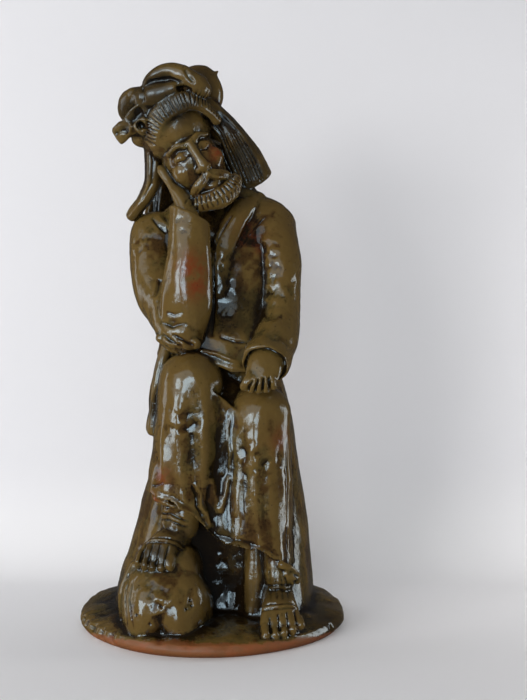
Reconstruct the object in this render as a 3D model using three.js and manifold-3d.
// A seated, pensive figurine of glazed clay on a round base, modelled by hand in one piece and fired.
// Millimetres, +Z up, origin on the underside at the middle of the base. The figure looks along -Y,
// so its right hand is on the -X side. Each limb, fold and lock is a roll or a lump of clay, and they
// are joined into one solid, as a potter joins them with slip.
import * as THREE from "three";
import { mergeVertices } from "three/addons/utils/BufferGeometryUtils.js";
import Module from "manifold-3d";

const wasm = await Module();
wasm.setup();

// Driving sizes of the base and the seat
const BASE_RADIUS = 65;
const BASE_RIM = 6.5;
const BASE_DOME = 3.5;
const BASE_BACK = 3.5;
const RIM_WEAR = 1;
const SEAT_TOP = 104;
const LAP_TOP = 130;

// Joints of the figure
const RIGHT_HIP = [-8, 12, 115];
const RIGHT_KNEE = [-9, -25, 117.5];
const RIGHT_ANKLE = [-14, -31, 52];
const LEFT_HIP = [18, 12, 103];
const LEFT_KNEE = [23.5, -25, 102.5];
const LEFT_ANKLE = [32.5, -31, 26];
const RIGHT_SHOULDER = [-28, 3, 189];
const RIGHT_ELBOW = [-13.5, -26.5, 141.5];
const RIGHT_CUFF = [-9.7, -26, 196];
const LEFT_SHOULDER = [27, 4, 193];
const LEFT_ELBOW = [32.5, -16, 144.5];
const LEFT_CUFF = [26, -36, 129];

// Place and tilt of the head; the tilts are in degrees
const HEAD = [-8.5, -11, 222];
const HEAD_LEAN = 29;
const HEAD_BOW = 8;
const HEAD_TURN = 10;

const degrees = THREE.MathUtils.degToRad;

// A closed mesh as a solid that can be joined or cut.
function solid(geometry) {
  const bare = geometry.clone();
  bare.deleteAttribute("normal");
  bare.deleteAttribute("uv");
  const merged = mergeVertices(bare, 1e-4);
  return new wasm.Manifold(
    new wasm.Mesh({
      numProp: 3,
      vertProperties: merged.attributes.position.array,
      triVerts: new Uint32Array(merged.index.array),
    }),
  );
}

// How a roll ends. Each ring stands out beyond the end of the path by so many half widths, at a
// scale. A hollow end turns in under its edge, as a sleeve does.
const ENDS = {
  dome: [
    { out: 1, scale: 0 },
    { out: 0.75, scale: 0.66 },
  ],
  ball: [
    { out: 1, scale: 0 },
    { out: 0.87, scale: 0.5 },
    { out: 0.5, scale: 0.87 },
  ],
  blunt: [
    { out: 0.45, scale: 0 },
    { out: 0.35, scale: 0.7 },
  ],
  flat: [{ out: 0, scale: 0 }],
  hollow: [
    { out: -0.5, scale: 0 },
    { out: -0.5, scale: 0.72 },
    { out: 0.1, scale: 0.86 },
  ],
  hem: [
    { out: -9, scale: 0 },
    { out: -9, scale: 0.82 },
    { out: 0, scale: 0.92 },
  ],
};

// The rings of a roll from its start to its end.
function ringPlan(rings, start, end) {
  const body = Array.from({ length: rings + 1 }, (_, i) => ({
    t: i / rings,
    out: 0,
    scale: 1,
  }));
  return [
    ...ENDS[start].map((r) => ({ t: 0, out: -r.out, scale: r.scale })),
    ...body,
    ...ENDS[end].toReversed().map((r) => ({ t: 1, ...r })),
  ];
}

// A value read from an evenly spaced list at t, from 0 to 1.
function along(list, t) {
  const place = t * (list.length - 1);
  const i = Math.min(list.length - 2, Math.floor(place));
  return THREE.MathUtils.lerp(list[i], list[i + 1], place - i);
}

// A roll of clay: an oval carried along a smooth path. Each station is [x, y, z, half width,
// half depth], with the width along the across direction. square is the power of the oval, 2 for an
// ellipse and more for a boxier one. swell(t, angle) scales the radius, rise(t, x) lifts a point, and
// gather packs the sides closer together at the front.
function roll(stations, options = {}) {
  const {
    sides = 10,
    rings = 8,
    across = [1, 0, 0],
    start = "dome",
    end = "dome",
    square = 2,
    gather = 0,
    swell = () => 1,
    rise = () => 0,
  } = options;
  const path = new THREE.CatmullRomCurve3(
    stations.map(([x, y, z]) => new THREE.Vector3(x, y, z)),
  );
  const wide = stations.map((s) => s[3]);
  const deep = stations.map((s) => s[4]);
  const plan = ringPlan(rings, start, end);
  const frames = plan.map(({ t, out, scale }) => {
    const tangent = path.getTangent(t);
    const a = new THREE.Vector3(...across);
    a.addScaledVector(tangent, -a.dot(tangent)).normalize();
    const b = new THREE.Vector3().crossVectors(tangent, a);
    const w = along(wide, t);
    const d = along(deep, t);
    const centre = path.getPoint(t).addScaledVector(tangent, out * Math.min(w, d));
    return { t, a, b, w, d, centre, scale };
  });
  const bulge = (c) => Math.sign(c) * Math.abs(c) ** (2 / square);
  const geometry = new THREE.SphereGeometry(1, sides, plan.length - 1);
  const { position, uv } = geometry.attributes;
  for (let i = 0; i < position.count; i++) {
    const f = frames[Math.round((1 - uv.getY(i)) * (plan.length - 1))];
    const even = 2 * Math.PI * (1 - uv.getX(i));
    const angle = even - gather * Math.cos(even);
    const r = f.scale * swell(f.t, angle);
    const p = f.centre
      .clone()
      .addScaledVector(f.a, r * f.w * bulge(Math.cos(angle)))
      .addScaledVector(f.b, r * f.d * bulge(Math.sin(angle)));
    position.setXYZ(i, p.x, p.y, p.z + rise(f.t, p.x));
  }
  return geometry;
}

// An oval lump with its own half sizes.
function lump([x, y, z], [rx, ry, rz], sides = 12, rings = 8) {
  const geometry = new THREE.SphereGeometry(1, sides, rings);
  return geometry.rotateX(Math.PI / 2).scale(rx, ry, rz).translate(x, y, z);
}

// A thin roll through a few places, for ridges, cords, brows and fingers.
function cord(places, radius, options = {}) {
  return roll(
    places.map((p) => [...p, radius, radius]),
    { sides: 5, rings: 2 * (places.length - 1), ...options },
  );
}

// The base: a flat round slab, thicker at the back, with a worn and uneven rim
function base() {
  const rim = BASE_RADIUS;
  const profile = [
    [0, 0],
    [rim - 2.5, 0],
    [rim - 0.3, 2],
    [rim, BASE_RIM * 0.55],
    [rim - 1.2, BASE_RIM - 0.8],
    [rim - 5, BASE_RIM + 0.3],
    [rim * 0.74, BASE_RIM + BASE_DOME * 0.7],
    [0, BASE_RIM + BASE_DOME],
  ].map(([r, z]) => new THREE.Vector2(r, z));
  const geometry = new THREE.LatheGeometry(profile, 32).rotateX(Math.PI / 2);
  const { position } = geometry.attributes;
  for (let i = 0; i < position.count; i++) {
    const [x, y, z] = [position.getX(i), position.getY(i), position.getZ(i)];
    const turn = Math.atan2(y, x);
    const worn = RIM_WEAR * Math.sin(2 * turn) ** 2 * (0.5 + 0.5 * Math.sin(5 * turn + 1));
    const r = Math.hypot(x, y);
    const k = r > 1 ? 1 - (worn * Math.max(0, r / rim - 0.8) * 5) / rim : 1;
    const thick = 1 + (BASE_BACK / BASE_RIM) * (0.5 + (0.5 * y) / rim);
    position.setXYZ(i, x * k, y * k, z * thick);
  }
  return geometry;
}

// The stump that the figure sits on, spreading into the base, and the lap above it. It is hollowed at
// the lower front, behind the shins.
function seat() {
  const recess = (t, angle) => {
    const middle = Math.exp(-(((angle - degrees(273)) / 0.3) ** 4));
    return 1 - 0.3 * middle * THREE.MathUtils.clamp(1.6 - 2.6 * t, 0, 1);
  };
  return roll(
    [
      [1.5, 5, 3, 53, 49],
      [1.5, 5, 12, 49, 45],
      [3.5, 6, 28, 45.5, 40],
      [5, 7, 50, 42, 36],
      [6, 7, 76, 36.5, 32],
      [5.5, 8, SEAT_TOP, 32.5, 29],
      [3, 8, LAP_TOP, 26, 25],
    ],
    { sides: 20, rings: 6, start: "flat", end: "flat", square: 2.7, swell: recess },
  );
}

// The boulder under the right foot, cleft into two lobes at its lower front
function boulder() {
  const cleft = (t, angle) => Math.exp(-(((angle - degrees(268)) / 0.28) ** 2)) * (1 - t) ** 3;
  const lobes = (t, angle) => 1 - 0.22 * cleft(t, angle) + 0.04 * Math.sin(3 * angle) * (1 - t);
  return [
    roll(
      [
        [-20, -34, 5, 19.5, 21.5],
        [-19.5, -34.5, 14, 21, 21.5],
        [-18.5, -34, 25, 19.5, 17.5],
        [-17, -33, 33, 14, 12],
      ],
      { sides: 18, rings: 4, start: "flat", square: 2.5, gather: 0.45, swell: lobes },
    ),
    cord([[-38, -34, 9], [-38.5, -35, 22], [-34, -35, 34]], 3.2),
  ];
}

// A height read from a line of places at x, level beyond both its ends
function heightAt(line, x) {
  const i = line.findIndex(([place]) => x < place);
  if (i === 0) return line[0][1];
  if (i < 0) return line.at(-1)[1];
  return THREE.MathUtils.mapLinear(x, line[i - 1][0], line[i][0], line[i - 1][1], line[i][1]);
}

// One thigh under the robe, ending in the round of the knee
function thigh(hip, knee, knob) {
  return roll(
    [
      [...hip, 17, 16],
      [...knee, knob, knob],
    ],
    { sides: 14, rings: 2, end: "ball" },
  );
}

// How far a ray from the middle of the robe runs at an angle before it leaves a round leg.
function legReach(angle, [x, y, radius]) {
  const near = x * Math.cos(angle) + y * Math.sin(angle);
  const inside = radius * radius - x * x - y * y + near * near;
  return inside > 0 ? near + Math.sqrt(inside) : 0;
}

// The robe from the knees to its hem: one cloth round both legs. Each leg pushes it out, a flat
// strip joins them in front, and soft ridges run down it. Legs are [x, y, radius] from the middle.
const ROBE = {
  middle: [6.5, -12],
  hem: 50,
  lap: 107,
  knees: [
    [-15.5, -13, 15],
    [17, -13, 14.5],
  ],
  feet: [
    [-19, -12, 17.5],
    [15, -12, 17],
  ],
  strip: [16, 23.5],
  hemLine: [
    [-27, 66],
    [-16, 62.5],
    [2, 46],
    [17, 43],
    [26, 40.3],
    [37, 33],
  ],
};

function robe() {
  const reach = (t, angle) => {
    const legs = [0, 1].map((n) =>
      legReach(angle, ROBE.feet[n].map((v, i) => THREE.MathUtils.lerp(v, ROBE.knees[n][i], t))),
    );
    const strip = THREE.MathUtils.lerp(ROBE.strip[1], ROBE.strip[0], t);
    const oval = strip / Math.hypot((Math.cos(angle) * strip) / 30, Math.sin(angle));
    const far = [...legs, oval].reduce((sum, r) => sum + r ** 12, 0) ** (1 / 12);
    const front = Math.max(0, -Math.sin(angle)) ** 3;
    const lip = 1.2 * Math.exp(-20 * t);
    return far + lip + front * Math.cos(24 * angle) * (1 - 0.75 * t);
  };
  const lift = (t, x) => {
    const hem = heightAt(ROBE.hemLine, x);
    const lap = heightAt([[-2, RIGHT_KNEE[2]], [16, LEFT_KNEE[2]]], x);
    return THREE.MathUtils.lerp(hem - ROBE.hem, lap - ROBE.lap, t);
  };
  return roll(
    [ROBE.hem, ROBE.lap].map((z) => [...ROBE.middle, z, 1, 1]),
    { sides: 36, rings: 6, start: "hem", end: "flat", gather: 0.5, swell: reach, rise: lift },
  );
}

// The lap: the robe's cloth sunk between the thighs
function lap() {
  return roll(
    [
      [6, 8, 116, 14, 12],
      [6.5, -12, 112, 13, 10],
      [7.5, -22, 105, 9, 8],
    ],
    { sides: 12, rings: 3 },
  );
}

// A shin in its wrap, under the robe
function shin(ankle, thick, top) {
  return roll(
    [
      [...ankle, thick, 7.5],
      [...top, thick + 1.5, 9],
    ],
    { sides: 10, rings: 2 },
  );
}

// A foot from its heel to the root of its toes, and five toes across its end
function foot({ heel, toes, wide, high, across, point }) {
  const side = new THREE.Vector3(...across).normalize();
  const tip = new THREE.Vector3(...point);
  const middle = heel.map((v, i) => THREE.MathUtils.lerp(v, toes[i], 0.55));
  const pieces = [
    roll(
      [
        [...heel, wide * 0.66, high * 1.35],
        [middle[0], middle[1], middle[2] + 1, wide * 0.78, high * 1.1],
        [...toes, wide * 0.96, high * 0.8],
      ],
      { sides: 8, rings: 3, across },
    ),
  ];
  for (let n = -2; n <= 2; n++) {
    const root = new THREE.Vector3(...toes).addScaledVector(side, (n * wide) / 2.5);
    const end = root.clone().addScaledVector(tip, 1 - 0.07 * n * n);
    const size = [wide * 0.2, high * 0.5];
    pieces.push(
      roll([[...root, ...size], [...end, ...size.map((v) => v * 0.9)]], {
        sides: 5,
        rings: 1,
        across,
      }),
    );
  }
  return pieces;
}

// The jacket over the lap, whose lower edge stands out and rises to the right elbow, with the left
// shoulder, the neck and the collar of its left front
function trunk() {
  const slope = (t, x) =>
    7 * THREE.MathUtils.clamp((10 - x) / 16, 0, 1) * THREE.MathUtils.clamp(1 - 3 * t, 0, 1) ** 2;
  return [
    roll(
      [
        [5, 4, 124, 32, 33],
        [5, 4, 134, 31.5, 31],
        [4, 5, 150, 31, 26],
        [3, 5, 168, 32, 23],
        [1, 5, 184, 32, 20],
        [3, 4, 198, 29, 16],
        [4, 3, 209, 19, 12],
      ],
      { sides: 16, rings: 6, start: "hollow", square: 2.4, rise: slope },
    ),
    lump([22, 3, 198], [16, 12, 12], 12, 6),
    roll(
      [
        [-4, 2, 228, 12, 11],
        [4, 3, 202, 13, 11],
      ],
      { sides: 8, rings: 1 },
    ),
    roll(
      [
        [22, 1, 208, 5, 4],
        [15, -8, 202, 5.5, 4],
        [8.5, -13, 190, 5.5, 3.2],
        [4.5, -16.5, 176, 4.5, 2.2],
        [4, -19, 160, 3.5, 1.2],
      ],
      { sides: 8, rings: 6 },
    ),
  ];
}

// The right arm: down from the shoulder to the elbow on the knee, and up again to the cuff
function rightArm() {
  const slant = (t, x) => -0.42 * (x - RIGHT_CUFF[0]) * t ** 6;
  return [
    roll(
      [
        [...RIGHT_SHOULDER, 13.5, 14],
        [-28.5, -2, 176, 12.5, 13],
        [-25.5, -10, 160, 11, 12],
        [...RIGHT_ELBOW, 10.5, 10],
      ],
      { sides: 10, rings: 5 },
    ),
    roll(
      [
        [...RIGHT_ELBOW, 10.5, 8.5],
        [-11, -28.5, 155, 12, 9],
        [-10.2, -28, 176, 10.6, 9],
        [...RIGHT_CUFF, 9.8, 8.5],
      ],
      { sides: 10, rings: 4, end: "hollow", rise: slant },
    ),
    cord([[-22.5, -29, 139], [-15.5, -33.5, 136.5], [-7, -32, 136]], 2.8),
  ];
}

// The right hand lies flat along the cheek, its thumb side to the front
function rightHand() {
  return roll(
    [
      [-9.5, -24, 192, 7, 6],
      [-12.5, -21.5, 203, 7, 4.2],
      [-17.5, -17.5, 211.5, 7, 2.8],
      [-22.3, -14.5, 219.5, 6.5, 2.2],
    ],
    { sides: 10, rings: 4, across: [0.2, 1, 0.2] },
  );
}

// The left arm, bent over the knee, with a thick rolled cuff
function leftArm() {
  return [
    roll(
      [
        [...LEFT_SHOULDER, 14.5, 13.5],
        [31.8, -2, 180, 11.5, 14],
        [33.2, -6, 168, 10.3, 13.5],
        [33.6, -10, 155, 9.6, 12.5],
        [...LEFT_ELBOW, 9.8, 12],
        [30, -26, 136.5, 10.5, 10.5],
        [...LEFT_CUFF, 10, 9.5],
      ],
      { sides: 12, rings: 7, end: "flat" },
    ),
    roll(
      [
        [28.5, -29, 132, 11, 10.5],
        [26.6, -35, 129, 12.2, 11.4],
        [25.8, -39, 126.8, 11.6, 11],
      ],
      { sides: 10, rings: 2, start: "blunt", end: "hollow" },
    ),
  ];
}

// The left hand hangs over the knee, its fingers side by side
function leftHand() {
  const [x, y, z] = LEFT_CUFF;
  const fingers = [-2, -1, 0, 1, 2].map((n) =>
    cord(
      [
        [x - 2.3 + 2.4 * n, y - 7.2, z - 8.5],
        [x - 2.9 + 3.1 * n, y - 8.6, z - 12],
        [x - 3.2 + 3.5 * n, y - 7.2, z - 15],
      ],
      1.85,
    ),
  );
  const palm = roll(
    [
      [x, y, z - 1, 7.5, 5],
      [x - 1, y - 5, z - 5, 8, 4.4],
      [x - 2.4, y - 7, z - 10, 7.4, 3],
    ],
    { sides: 10, rings: 3 },
  );
  return [palm, ...fingers];
}

// The end of the cloak that hangs at the right hip, folded double
function tail() {
  return [
    cord([[-21, -20, 135], [-24.5, -22, 124], [-27, -21, 108], [-28, -20, 95]], 2.4),
    cord([[-21, -12, 134], [-25, -14, 122], [-27.5, -16, 107], [-28, -18, 95]], 2.6),
  ];
}

// From the head's own frame to the figure's
const headFrame = new THREE.Matrix4()
  .makeTranslation(...HEAD)
  .multiply(new THREE.Matrix4().makeRotationY(degrees(-HEAD_LEAN)))
  .multiply(new THREE.Matrix4().makeRotationX(degrees(HEAD_BOW)))
  .multiply(new THREE.Matrix4().makeRotationZ(degrees(HEAD_TURN)));

// Skull, face, brows, eyelids, nose and moustache, in the head's own frame
function face() {
  const pairs = [-1, 1].flatMap((s) => [
    cord([[s * 2, -16.5, 9], [s * 6.5, -15.5, 10.8], [s * 11, -11.5, 9]], 1.5),
    lump([s * 6.2, -13.8, 6], [3.6, 2.4, 1.7], 6, 4),
    cord([[s * 0.8, -18.8, -7.5], [s * 5.5, -17, -9.5], [s * 10.5, -12, -13]], 2.1),
  ]);
  return [
    lump([1, 3, 22], [17.5, 18.5, 20], 12, 7),
    lump([0, -2, 1], [14, 15, 19.5], 12, 8),
    roll(
      [
        [0, -15.5, 9.5, 1.7, 2],
        [0, -18.2, 3, 1.9, 2.2],
        [0, -19.8, -3, 3, 2.4],
      ],
      { sides: 6, rings: 3 },
    ),
    ...pairs,
  ];
}

// The short beard, marked with strokes
function beard() {
  const stroke = (t) => 1 + 0.09 * Math.cos(10 * Math.PI * t);
  return roll(
    [
      [-11.5, -10.5, -15.5, 3.8, 3.6],
      [-6, -14.5, -18, 4.8, 4.6],
      [0, -16, -19, 5.2, 5],
      [6.5, -14, -18, 4.8, 4.6],
      [12, -9.5, -15.5, 3.8, 3.6],
    ],
    { sides: 6, rings: 10, across: [0, 0, 1], swell: stroke },
  );
}

// The fringe over the brow, in the figure's own frame, marked with strokes
function fringe() {
  const stroke = (t) => 1 + 0.06 * Math.cos(16 * Math.PI * t);
  return roll(
    [
      [-27.5, -20, 232.5, 3, 2.4],
      [-26.2, -24.5, 238, 3.6, 2.8],
      [-23.4, -28, 242.2, 4, 3],
      [-19.4, -30.3, 245.5, 4.2, 3],
      [-14.8, -31.3, 248, 4.1, 3],
      [-10.4, -31, 249.2, 3.8, 3],
      [-5.8, -28.5, 249, 3.6, 3],
      [-1.8, -24, 247.2, 3.4, 3],
      [2.2, -18, 243.6, 3.2, 3],
    ],
    { sides: 6, rings: 16, across: [-0.485, 0, 0.875], swell: stroke },
  );
}

// The locks beside the face and the hair down the back, in the figure's own frame. Combed hair
// has so many ridges round it.
function locks() {
  const combed = (ridges) => (t, angle) => 1 + 0.06 * Math.cos(ridges * angle);
  return [
    roll(
      [
        [-2, -8, 251, 5.5, 6],
        [8, -8, 239.5, 6, 6.5],
        [15.2, -5, 228, 8.6, 6.5],
        [20.6, -2, 217.5, 8.8, 6.5],
      ],
      { sides: 12, rings: 4, end: "blunt", swell: combed(6) },
    ),
    roll(
      [
        [-30.2, -8, 237, 3.4, 6.5],
        [-28.6, -7, 224.5, 4.2, 8],
        [-29.6, -5, 215, 4, 8],
        [-34.6, -2, 206.6, 3.5, 8],
        [-41, 0, 199.4, 2.5, 6],
      ],
      { sides: 8, rings: 5, end: "blunt" },
    ),
    roll(
      [
        [-17, 8, 252, 14, 9],
        [-13, 13, 236, 19, 9],
        [-11, 14, 218, 21.5, 9],
        [-11, 14, 200, 24.5, 8],
      ],
      { sides: 20, rings: 4, swell: combed(10) },
    ),
  ];
}

// The crown: thick rolls twisted round each other in a ring on the hair, arched highest over the
// brow, with two plainer strands round the back
function crown() {
  const band = (stations, options) => roll(stations, { sides: 8, across: [0, 1, 0], ...options });
  return [
    band(
      [
        [-31, -20, 256.2, 4, 2.2],
        [-27.9, -26, 259.8, 4.4, 2.9],
        [-24, -28.5, 261.7, 4.8, 3.8],
        [-18.4, -30, 263, 5, 4.4],
        [-13.7, -31, 261.2, 5, 4.6],
        [-9.5, -31, 258.7, 5, 4.7],
        [-5.6, -30.5, 256.4, 5, 4.8],
        [-3.5, -28.5, 254.8, 4.6, 4.4],
      ],
      { sides: 10 },
    ),
    band([
      [-14, -14, 263, 5, 3.6],
      [-7.1, -13, 266.5, 5, 4.3],
      [-2.3, -11, 264.6, 5.2, 5],
      [0, -9, 260.4, 5.2, 5.2],
      [0.2, -6, 255.8, 5, 5],
      [-0.5, -4, 251, 4.5, 3.8],
    ]),
    band([
      [-32, -24, 251.5, 4.5, 4.6],
      [-26.1, -27.5, 252.4, 4.8, 5],
      [-21.6, -29, 253.5, 4.6, 4.8],
      [-17.3, -29.5, 255, 4, 3.8],
      [-13.5, -27, 256, 3, 2.4],
    ]),
    band([
      [-29.5, -25, 252.4, 4.6, 4.4],
      [-34.9, -22, 253.6, 4.6, 4.7],
      [-38.9, -17, 252.2, 4.6, 4.8],
      [-39.7, -11, 248.6, 4.4, 4.6],
      [-38, -5, 245, 4, 4],
    ]),
    roll(
      [
        [-38, -8, 246, 4.5, 4.5],
        [-36, 4, 249, 4.8, 4.8],
        [-27, 12, 252, 5, 5],
        [-14, 14, 260, 5, 5],
        [-3, 6, 262, 5, 5],
        [0, -6, 257, 4.6, 4.8],
      ],
      { sides: 8, rings: 10 },
    ),
    roll(
      [
        [-36, -12, 250, 4.4, 4.4],
        [-33, 2, 255, 4.6, 4.6],
        [-23, 9, 259, 4.8, 4.8],
        [-12, 15, 252.5, 4.8, 4.8],
        [0, 7, 252, 4.8, 4.8],
        [1, -5, 250, 4.2, 4.2],
      ],
      { sides: 8, rings: 10 },
    ),
  ];
}

// The torn ends of the crown: a folded leaf, a small loop and a flat end at the right temple, and a
// corner at the top
function tornEnds() {
  const flat = (stations, options) =>
    roll(stations, { sides: 6, rings: 3, across: [0, 1, 0], ...options });
  return [
    flat([
      [-30.5, -25, 246.5, 2, 3.4],
      [-36.2, -24, 242, 1.8, 4],
      [-40.3, -20.5, 238.2, 1.6, 3.4],
    ]),
    flat(
      [
        [-33, -22, 240.8, 2.4, 4],
        [-39.5, -20, 238.4, 2.2, 4.3],
        [-44.8, -17, 235.6, 1.6, 4.3],
      ],
      { sides: 8, end: "blunt", square: 3 },
    ),
    flat([
      [-3, -11, 262.5, 5.2, 4],
      [0.4, -11, 266.2, 3.4, 1.8],
      [2.9, -11, 268.5, 0.9, 0.6],
    ]),
    lump([-32.1, -25.5, 239], [3.6, 3, 4.2], 8, 6),
    lump([-34.4, -14, 235.4], [4.6, 6, 4.6], 8, 6),
  ];
}

const rightFoot = {
  heel: [-14.5, -32, 47],
  toes: [-23.5, -41, 39.5],
  wide: 9.3,
  high: 6,
  across: [1, -0.15, -0.1],
  point: [-1.5, -4.5, -4],
};
const leftFoot = {
  heel: [31.5, -31, 20],
  toes: [34, -47.5, 10.5],
  wide: 11.6,
  high: 5.8,
  across: [1, 0.45, 0.15],
  point: [0.6, -5, -2.4],
};

const inHead = (geometry) => geometry.applyMatrix4(headFrame);
const pieces = [
  base(),
  seat(),
  ...boulder(),
  thigh(RIGHT_HIP, RIGHT_KNEE, ROBE.knees[0][2]),
  thigh(LEFT_HIP, LEFT_KNEE, ROBE.knees[1][2]),
  robe(),
  lap(),
  shin(RIGHT_ANKLE, 8.5, [-11, -26, 80]),
  shin(LEFT_ANKLE, 6.6, [27, -24, 60]),
  cord([[21.2, -29.5, 8], [21.5, -28.5, 24], [22, -27, 48]], 5.5),
  ...foot(rightFoot),
  ...foot(leftFoot),
  ...trunk(),
  ...rightArm(),
  rightHand(),
  ...leftArm(),
  ...leftHand(),
  ...tail(),
  ...locks(),
  ...[...face(), beard()].map(inHead),
  fringe(),
  ...crown(),
  ...tornEnds(),
];

// The largest shell is the figurine. Any other is a pocket between rolls, which the slip fills.
const shells = pieces
  .map(solid)
  .reduce((whole, piece) => whole.add(piece))
  .decompose();
const body = shells.reduce((a, b) => (a.volume() > b.volume() ? a : b));

function meshOf(name, made, material) {
  const m = made.getMesh();
  const points = new Float32Array(m.numVert * 3);
  for (let i = 0; i < m.numVert; i++)
    points.set(m.vertProperties.subarray(i * m.numProp, i * m.numProp + 3), i * 3);
  const geometry = new THREE.BufferGeometry()
    .setAttribute("position", new THREE.BufferAttribute(points, 3))
    .setIndex(new THREE.BufferAttribute(m.triVerts, 1));
  geometry.computeVertexNormals();
  const mesh = new THREE.Mesh(geometry, material);
  mesh.name = name;
  return mesh;
}

const glaze = new THREE.MeshStandardMaterial({
  color: new THREE.Color(0.24, 0.18, 0.08),
  roughness: 0.15,
  metalness: 0,
});

const part = new THREE.Group();
part.add(meshOf("glazed_figurine", body, glaze));
export default part;
